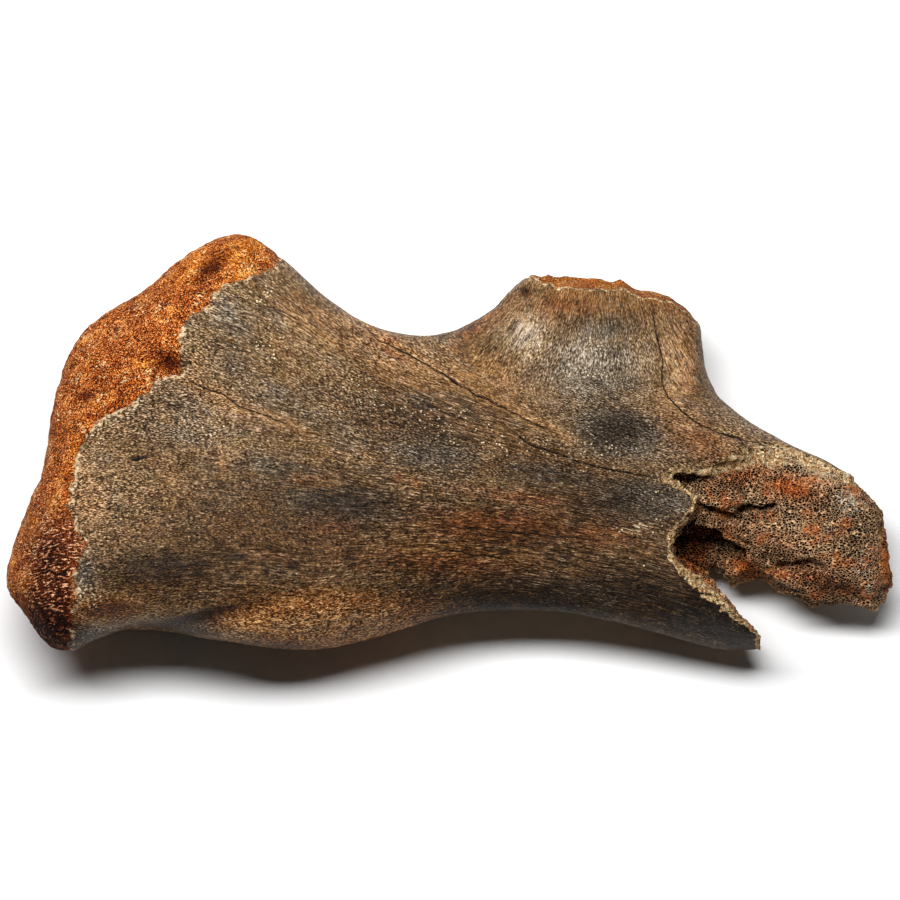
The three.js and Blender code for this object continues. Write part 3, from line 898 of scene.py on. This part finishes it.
def worn_look(n, place):
    """Worn spongy bone: rusty orange and gritty, darker and coarser at the inner edge."""
    grains = n.noise(place, 0.8, 2, 0.65)
    cloud = n.span(n.noise(place, 7, 5, 0.68), 0.3, 0.7, -0.07, 0.07)
    # Here too the darker notes lower the tone, partly as painted shade towards the lower edge.
    tone = n.weighted([
        (n.noise(place, GRIT, 0), 0.5), (grains, 0.5), (cloud, 1), (n.attribute("dark"), -0.05),
    ])
    rusty = n.ramp(tone, RUSTY_RAMP)
    bright = n.span(n.noise(place, 14, 3, 0.6), 0.56, 0.68, 0, 0.4)
    bright = n.math("MAXIMUM", bright, n.attribute("bright"))
    rusty = n.mix(n.math("MINIMUM", bright, 1), rusty, n.ramp(tone, AMBER_RAMP))
    pits = n.span(n.noise(place, 1.0, 2, 0.6), 0.37, 0.43, 0.92, 0)
    rusty = n.mix(pits, rusty, WORN_PIT_COLOUR)
    flakes = n.span(n.noise(place, 1.3, 2, 0.6), 0.58, 0.64)
    flakes = n.math("MULTIPLY", flakes, n.span(n.noise(place, 9, 3, 0.6), 0.52, 0.6, 0, 0.9))
    rusty = n.mix(flakes, rusty, WORN_FLAKE_COLOUR)
    crests = n.noise(n.scaled(place, (0.35, 1, 0.35)), 0.8, 1, 0.5)
    crests = n.span(crests, 0.46, 0.64)
    umber = n.ramp(n.weighted([(crests, 0.34), (tone, 1)]), UMBER_RAMP)
    coarse = n.attribute("coarse")
    rusty_height = n.weighted([(grains, 0.9), (pits, -0.5)])
    height = n.mix_value(coarse, rusty_height, n.math("MULTIPLY", crests, 0.8))
    return n.mix(coarse, rusty, umber), height


def sponge(n, place, walls, grit, cloud):
    """The open pores in tan, rust and cream."""
    # The darker places lower the tone, partly as painted shade.
    tone = n.weighted([
        (walls, 0.7), (grit, 0.95), (n.span(cloud, 0.3, 0.7, -0.41, 0.02), 1),
        (n.attribute("sponge_dark_and_shade"), -0.2), (n.attribute("pale_sponge"), 0.08),
        (n.attribute("orange_sponge"), 0.08),
    ])
    tan, rust, cream = (
        n.ramp(tone, zip(SPONGE_STEPS, colours)) for colours in SPONGE_COLOURS.values()
    )
    rusty = n.math("MAXIMUM", n.span(cloud, 0.48, 0.62, 0, 0.8), n.attribute("orange_sponge"))
    colour = n.mix(n.math("MINIMUM", rusty, 1), tan, rust)
    ragged = n.span(n.noise(place, 3, 4, 0.65), 0.3, 0.7, -0.45, 0.45)
    pale = n.span(n.math("ADD", n.attribute("pale_sponge"), ragged), 0.3, 0.9)
    return n.mix(pale, colour, cream)


def broken_look(n, place, worn):
    """The broken face: open pores in tan and rust, with a pale rim."""
    cells = n.cells(n.scaled(place, (0.62, 1, 1)), PORE, "DISTANCE_TO_EDGE")
    walls = n.span(cells, 0.01, 0.19, 1, 0)
    grit = n.noise(place, GRIT, 1, 0.6)
    cloud = n.noise(place, 9, 4, 0.65)
    colour = sponge(n, place, walls, grit, cloud)
    rim = n.math("DIVIDE", n.attribute("into_break"), n.attribute("rim_in"))
    rim = n.math("ADD", rim, n.span(cloud, 0.3, 0.7, 0.5, -0.5))
    rim_tone = n.weighted([(grit, 0.35), (n.noise(place, 1.3, 2, 0.6), 0.6), (walls, 0.07)])
    layers = n.span(n.noise(place, 2.6, 3, 0.6), 0.55, 0.62, 0, 0.6)
    edge = n.mix(layers, n.ramp(rim_tone, EDGE_RAMP), colour)
    colour = n.mix(n.span(rim, 0.7, 1.2, 1, 0), colour, edge)
    holes = n.span(n.noise(n.scaled(place, (0.6, 1, 1)), 1.7, 2, 0.6), 0.34, 0.4, 0.85, 0)
    colour = n.mix(holes, colour, HOLE_COLOUR)
    # Painted shade, partly: the darker places of the broken face multiply its colour down.
    shade = n.span(n.attribute("sponge_dark_and_shade"), 0, 1.5, 0, 0.65)
    colour = n.mix(shade, colour, SHADE, "MULTIPLY")
    colour = n.mix(n.attribute("trochanter"), colour, worn)
    return colour, n.weighted([(walls, 1.0), (grit, 0.5), (holes, -0.8)])


def bone_material():
    """The three looks, each where its bone is, with ragged borders."""
    material = bpy.data.materials.new("fossil_bone")
    n = Nodes(material)
    per_metre = 1 / MM
    place = n.scaled(n.add("ShaderNodeTexCoord").outputs["Object"], (per_metre,) * 3)
    cortex, cortex_height = cortex_look(n, place)
    worn, worn_height = worn_look(n, place)
    broken, broken_height = broken_look(n, place, worn)

    ragged = n.noise(place, 2.4, 5, 0.72)
    worn_edge = n.math("ADD", n.attribute("worn"), n.span(ragged, 0.3, 0.7, -1.7, 1.7))
    is_worn = n.span(worn_edge, -0.1, 0.2)
    border = n.span(n.math("ABSOLUTE", n.math("ADD", worn_edge, 0.5)), 0.3, 1.3, 1, 0)
    border = n.math("MULTIPLY", border, n.span(n.noise(place, 6, 3, 0.65), 0.5, 0.57))
    colour = n.mix(is_worn, cortex, worn)
    # Where the darker notes are, the colour is multiplied down: partly painted shade, partly
    # darker bone.
    shade = n.span(n.attribute("dark"), 0, 1.7, 0, 0.85)
    colour = n.mix(shade, colour, SHADE, "MULTIPLY")
    colour = n.mix(n.math("MULTIPLY", border, 0.8), colour, BORDER_COLOUR)
    past_rim = n.math("ADD", n.attribute("into_break"), n.attribute("rim_out"))
    is_broken = n.span(n.math("ADD", past_rim, n.span(ragged, 0.3, 0.7, -0.6, 0.6)), -0.1, 0.2)
    colour = n.mix(is_broken, colour, broken)

    height = n.mix_value(is_worn, cortex_height, worn_height)
    height = n.mix_value(is_broken, height, broken_height)
    bump = n.add("ShaderNodeBump")
    n.feed(bump.inputs["Strength"], 1.0)
    n.feed(bump.inputs["Distance"], MM)
    n.feed(bump.inputs["Height"], height)
    shader = n.shader(colour, n.span(n.math("MAXIMUM", is_worn, is_broken), 0, 1, 0.5, 0.9))
    n.feed(shader.inputs["Specular IOR Level"], 0.1)
    n.feed(shader.inputs["Normal"], bump.outputs[0])
    return material


def plain_material(name, colour, roughness):
    material = bpy.data.materials.new(name)
    Nodes(material).shader(colour, roughness)
    return material


# ---- The piece ----

def store(mesh, name, values):
    """Keeps one number or vector for each point on the mesh."""
    vector = values.ndim == 2
    attribute = mesh.attributes.new(name, "FLOAT_VECTOR" if vector else "FLOAT", "POINT")
    field = "vector" if vector else "value"
    attribute.data.foreach_set(field, np.ascontiguousarray(values, dtype=np.float32).ravel())


def to_split(f):
    """Where the faces have to be finer: broken and worn bone, the cracks and the lump."""
    fine = (f.worn > -SPLIT_NEAR_WORN) | (f.crack_size < SPLIT_NEAR_CRACK)
    fine |= on_lump(f) > 0.3
    return (f.into_break > -SPLIT_NEAR_BREAK) | (fine & (f.front > 0.1))


def shaped(piece, solid):
    """Gives the piece its relief, and returns what its surface is like."""
    mesh = piece.data
    cortex = cortex_faces(solid)
    points = read_points(mesh)
    into_break = distance_into_break(points, solid, cortex)
    weight = 0.12 + 0.88 * smoothstep(0.8, 4, np.abs(into_break))
    weight = np.where(into_break > 0, weight * 0.3, weight)
    points = smoothed(points, read_edges(mesh), weight, FORM_ROUNDS)
    write_points(mesh, points)
    refined(mesh, to_split(Fields(points, read_normals(mesh), into_break)))
    points = read_points(mesh)
    into_break = distance_into_break(points, solid, cortex)
    weight = smoothstep(0.4, 2, np.abs(into_break))
    points = smoothed(points, read_edges(mesh), weight, SPLIT_ROUNDS)
    write_points(mesh, points)
    normals = read_normals(mesh)
    f = Fields(points, normals, into_break)
    points = points + normals * (relief(f) * MM)[:, None]
    points[:, 2] = np.maximum(points[:, 2], 0)  # nothing sinks into the ground
    write_points(mesh, points)
    mesh.polygons.foreach_set("use_smooth", np.ones(len(mesh.polygons), dtype=bool))
    return f


def store_looks(mesh, f):
    """Keeps what the material needs to know at each point."""

    def both_sides(notes, seed, amount):
        """These marks on the front, and others like them at random behind."""
        spots = layered_noise(f.place, size=38, octaves=2, seed=seed)
        behind = smoothstep(0.05, 0.5, spots) * amount
        return patches(f.u, f.v, notes) * f.front + behind * (1 - f.front)

    rough = on_lump(f)
    end_u, end_v, length, width = COARSE_END
    coarse = np.exp(-((f.u - end_u) / length) ** 4 - ((f.v - end_v) / width) ** 4)
    on_trochanter = (f.v > sum(BROKEN_TOP_FROM_V) / 2).astype(float)
    values = {
        "grain": f.grain, "flare_grain": f.flare_grain, "flare": f.flare, "spread": f.spread,
        "worn": f.worn, "into_break": f.into_break, "rim_out": f.rim_out, "rim_in": f.rim_in,
        "crack_side": f.crack_side, "crack_near": f.crack_near, "crack_rust": f.crack_rust,
        "slate": both_sides(SLATE, 101, 1.0),
        "pale": both_sides(PALE_AND_SHEEN, 103, 0.8),
        "ochre": np.maximum(both_sides(OCHRE, 107, 0.8), rough * 0.7),
        "rust": both_sides(RUST, 109, 0.8),
        "dark": both_sides(DARK_AND_SHADE, 127, 0.3),
        "lined": both_sides(LINED, 131, 0.7),
        "cream": both_sides(CREAM_AND_GLINTS, 113, 0.5),
        "bright": patches(f.u, f.v, BRIGHT),
        "pale_sponge": patches(f.u, f.v, PALE_SPONGE),
        "sponge_dark_and_shade": patches(f.u, f.v, DARK_AND_SHADED_SPONGE),
        "orange_sponge": patches(f.u, f.v, ORANGE_SPONGE),
        "rough": rough,
        "coarse": coarse * smoothstep(0, 2, f.worn),
        "trochanter": on_trochanter * smoothstep(0.8, 1.6, f.into_break),
    }
    for name, value in values.items():
        store(mesh, name, value)


def make_bone():
    """The bone: the solid's form in fine faces, with its relief and its looks."""
    piece, solid = evened(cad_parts[NODE])
    f = shaped(piece, solid)
    solid.free()
    store_looks(piece.data, f)
    piece.data.materials.append(bone_material())
    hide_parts(NODE)
    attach(piece, "root")


# ---- Floor, light and camera ----

FLOOR_SIZE = 8  # metres
FLOOR_COLOUR = (0.82, 0.82, 0.82, 1)
SKY_COLOUR = (0.72, 0.87, 1, 1)


def make_stage():
    bpy.ops.mesh.primitive_plane_add(size=FLOOR_SIZE, location=(0, 0, 0))
    floor = bpy.context.active_object
    floor.name = "floor"
    floor.data.materials.append(plain_material("floor", FLOOR_COLOUR, roughness=0.9))


def area_light(name, location, turn, size, power):
    """An oval soft lamp, which faces straight down before it is turned about the X axis."""
    data = bpy.data.lights.new(name, "AREA")
    data.shape = "ELLIPSE"
    data.size, data.size_y = size
    data.energy = power
    lamp = bpy.data.objects.new(name, data)
    bpy.context.scene.collection.objects.link(lamp)
    lamp.location = location
    lamp.rotation_euler.x = math.radians(turn)


def make_lights():
    """A long lamp over the bone, a weaker one behind it, and a faint even sky."""
    area_light("key", location=(-0.2, 0.01, 1.28), turn=0, size=(1.4, 0.4), power=27)
    area_light("back", location=(-0.3, 1.1, 0.55), turn=-63, size=(0.8, 0.8), power=8)
    world = bpy.data.worlds.new("studio")
    world.use_nodes = True
    background = world.node_tree.nodes["Background"]
    background.inputs["Color"].default_value = SKY_COLOUR
    background.inputs["Strength"].default_value = 0.03
    bpy.context.scene.world = world


LENS = 600  # millimetres, on a sensor of this width
SENSOR = 36
VIEW_WIDTH = 369  # what the frame takes in across the middle of the bone
VIEW_MIDDLE = (181.6, 82)  # the u and v at the middle of the frame


def make_camera():
    """Looks square at the plane of the notes from far off."""
    points = read_points(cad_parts[NODE].data) / MM
    rise = math.sin(ELEVATION) * points[:, 1] + math.cos(ELEVATION) * points[:, 2]
    x = points[:, 0].min() + VIEW_MIDDLE[0]
    middle_rise = rise.min() + VIEW_MIDDLE[1]
    y = (middle_rise - math.cos(ELEVATION) * MID_HEIGHT) / math.sin(ELEVATION)
    target = Vector((x, y, MID_HEIGHT)) * MM
    distance = VIEW_WIDTH * MM * LENS / SENSOR
    back = Vector((0, -math.cos(ELEVATION), math.sin(ELEVATION)))
    data = bpy.data.cameras.new("camera")
    data.lens = LENS
    data.sensor_width = SENSOR
    camera = bpy.data.objects.new("camera", data)
    bpy.context.scene.collection.objects.link(camera)
    camera.location = target + back * distance
    camera.rotation_mode = "QUATERNION"
    camera.rotation_quaternion = (-back).to_track_quat("-Z", "Y")
    bpy.context.scene.camera = camera


make_bone()
make_stage()
make_lights()
make_camera()
bpy.context.scene.view_settings.view_transform = "Standard"
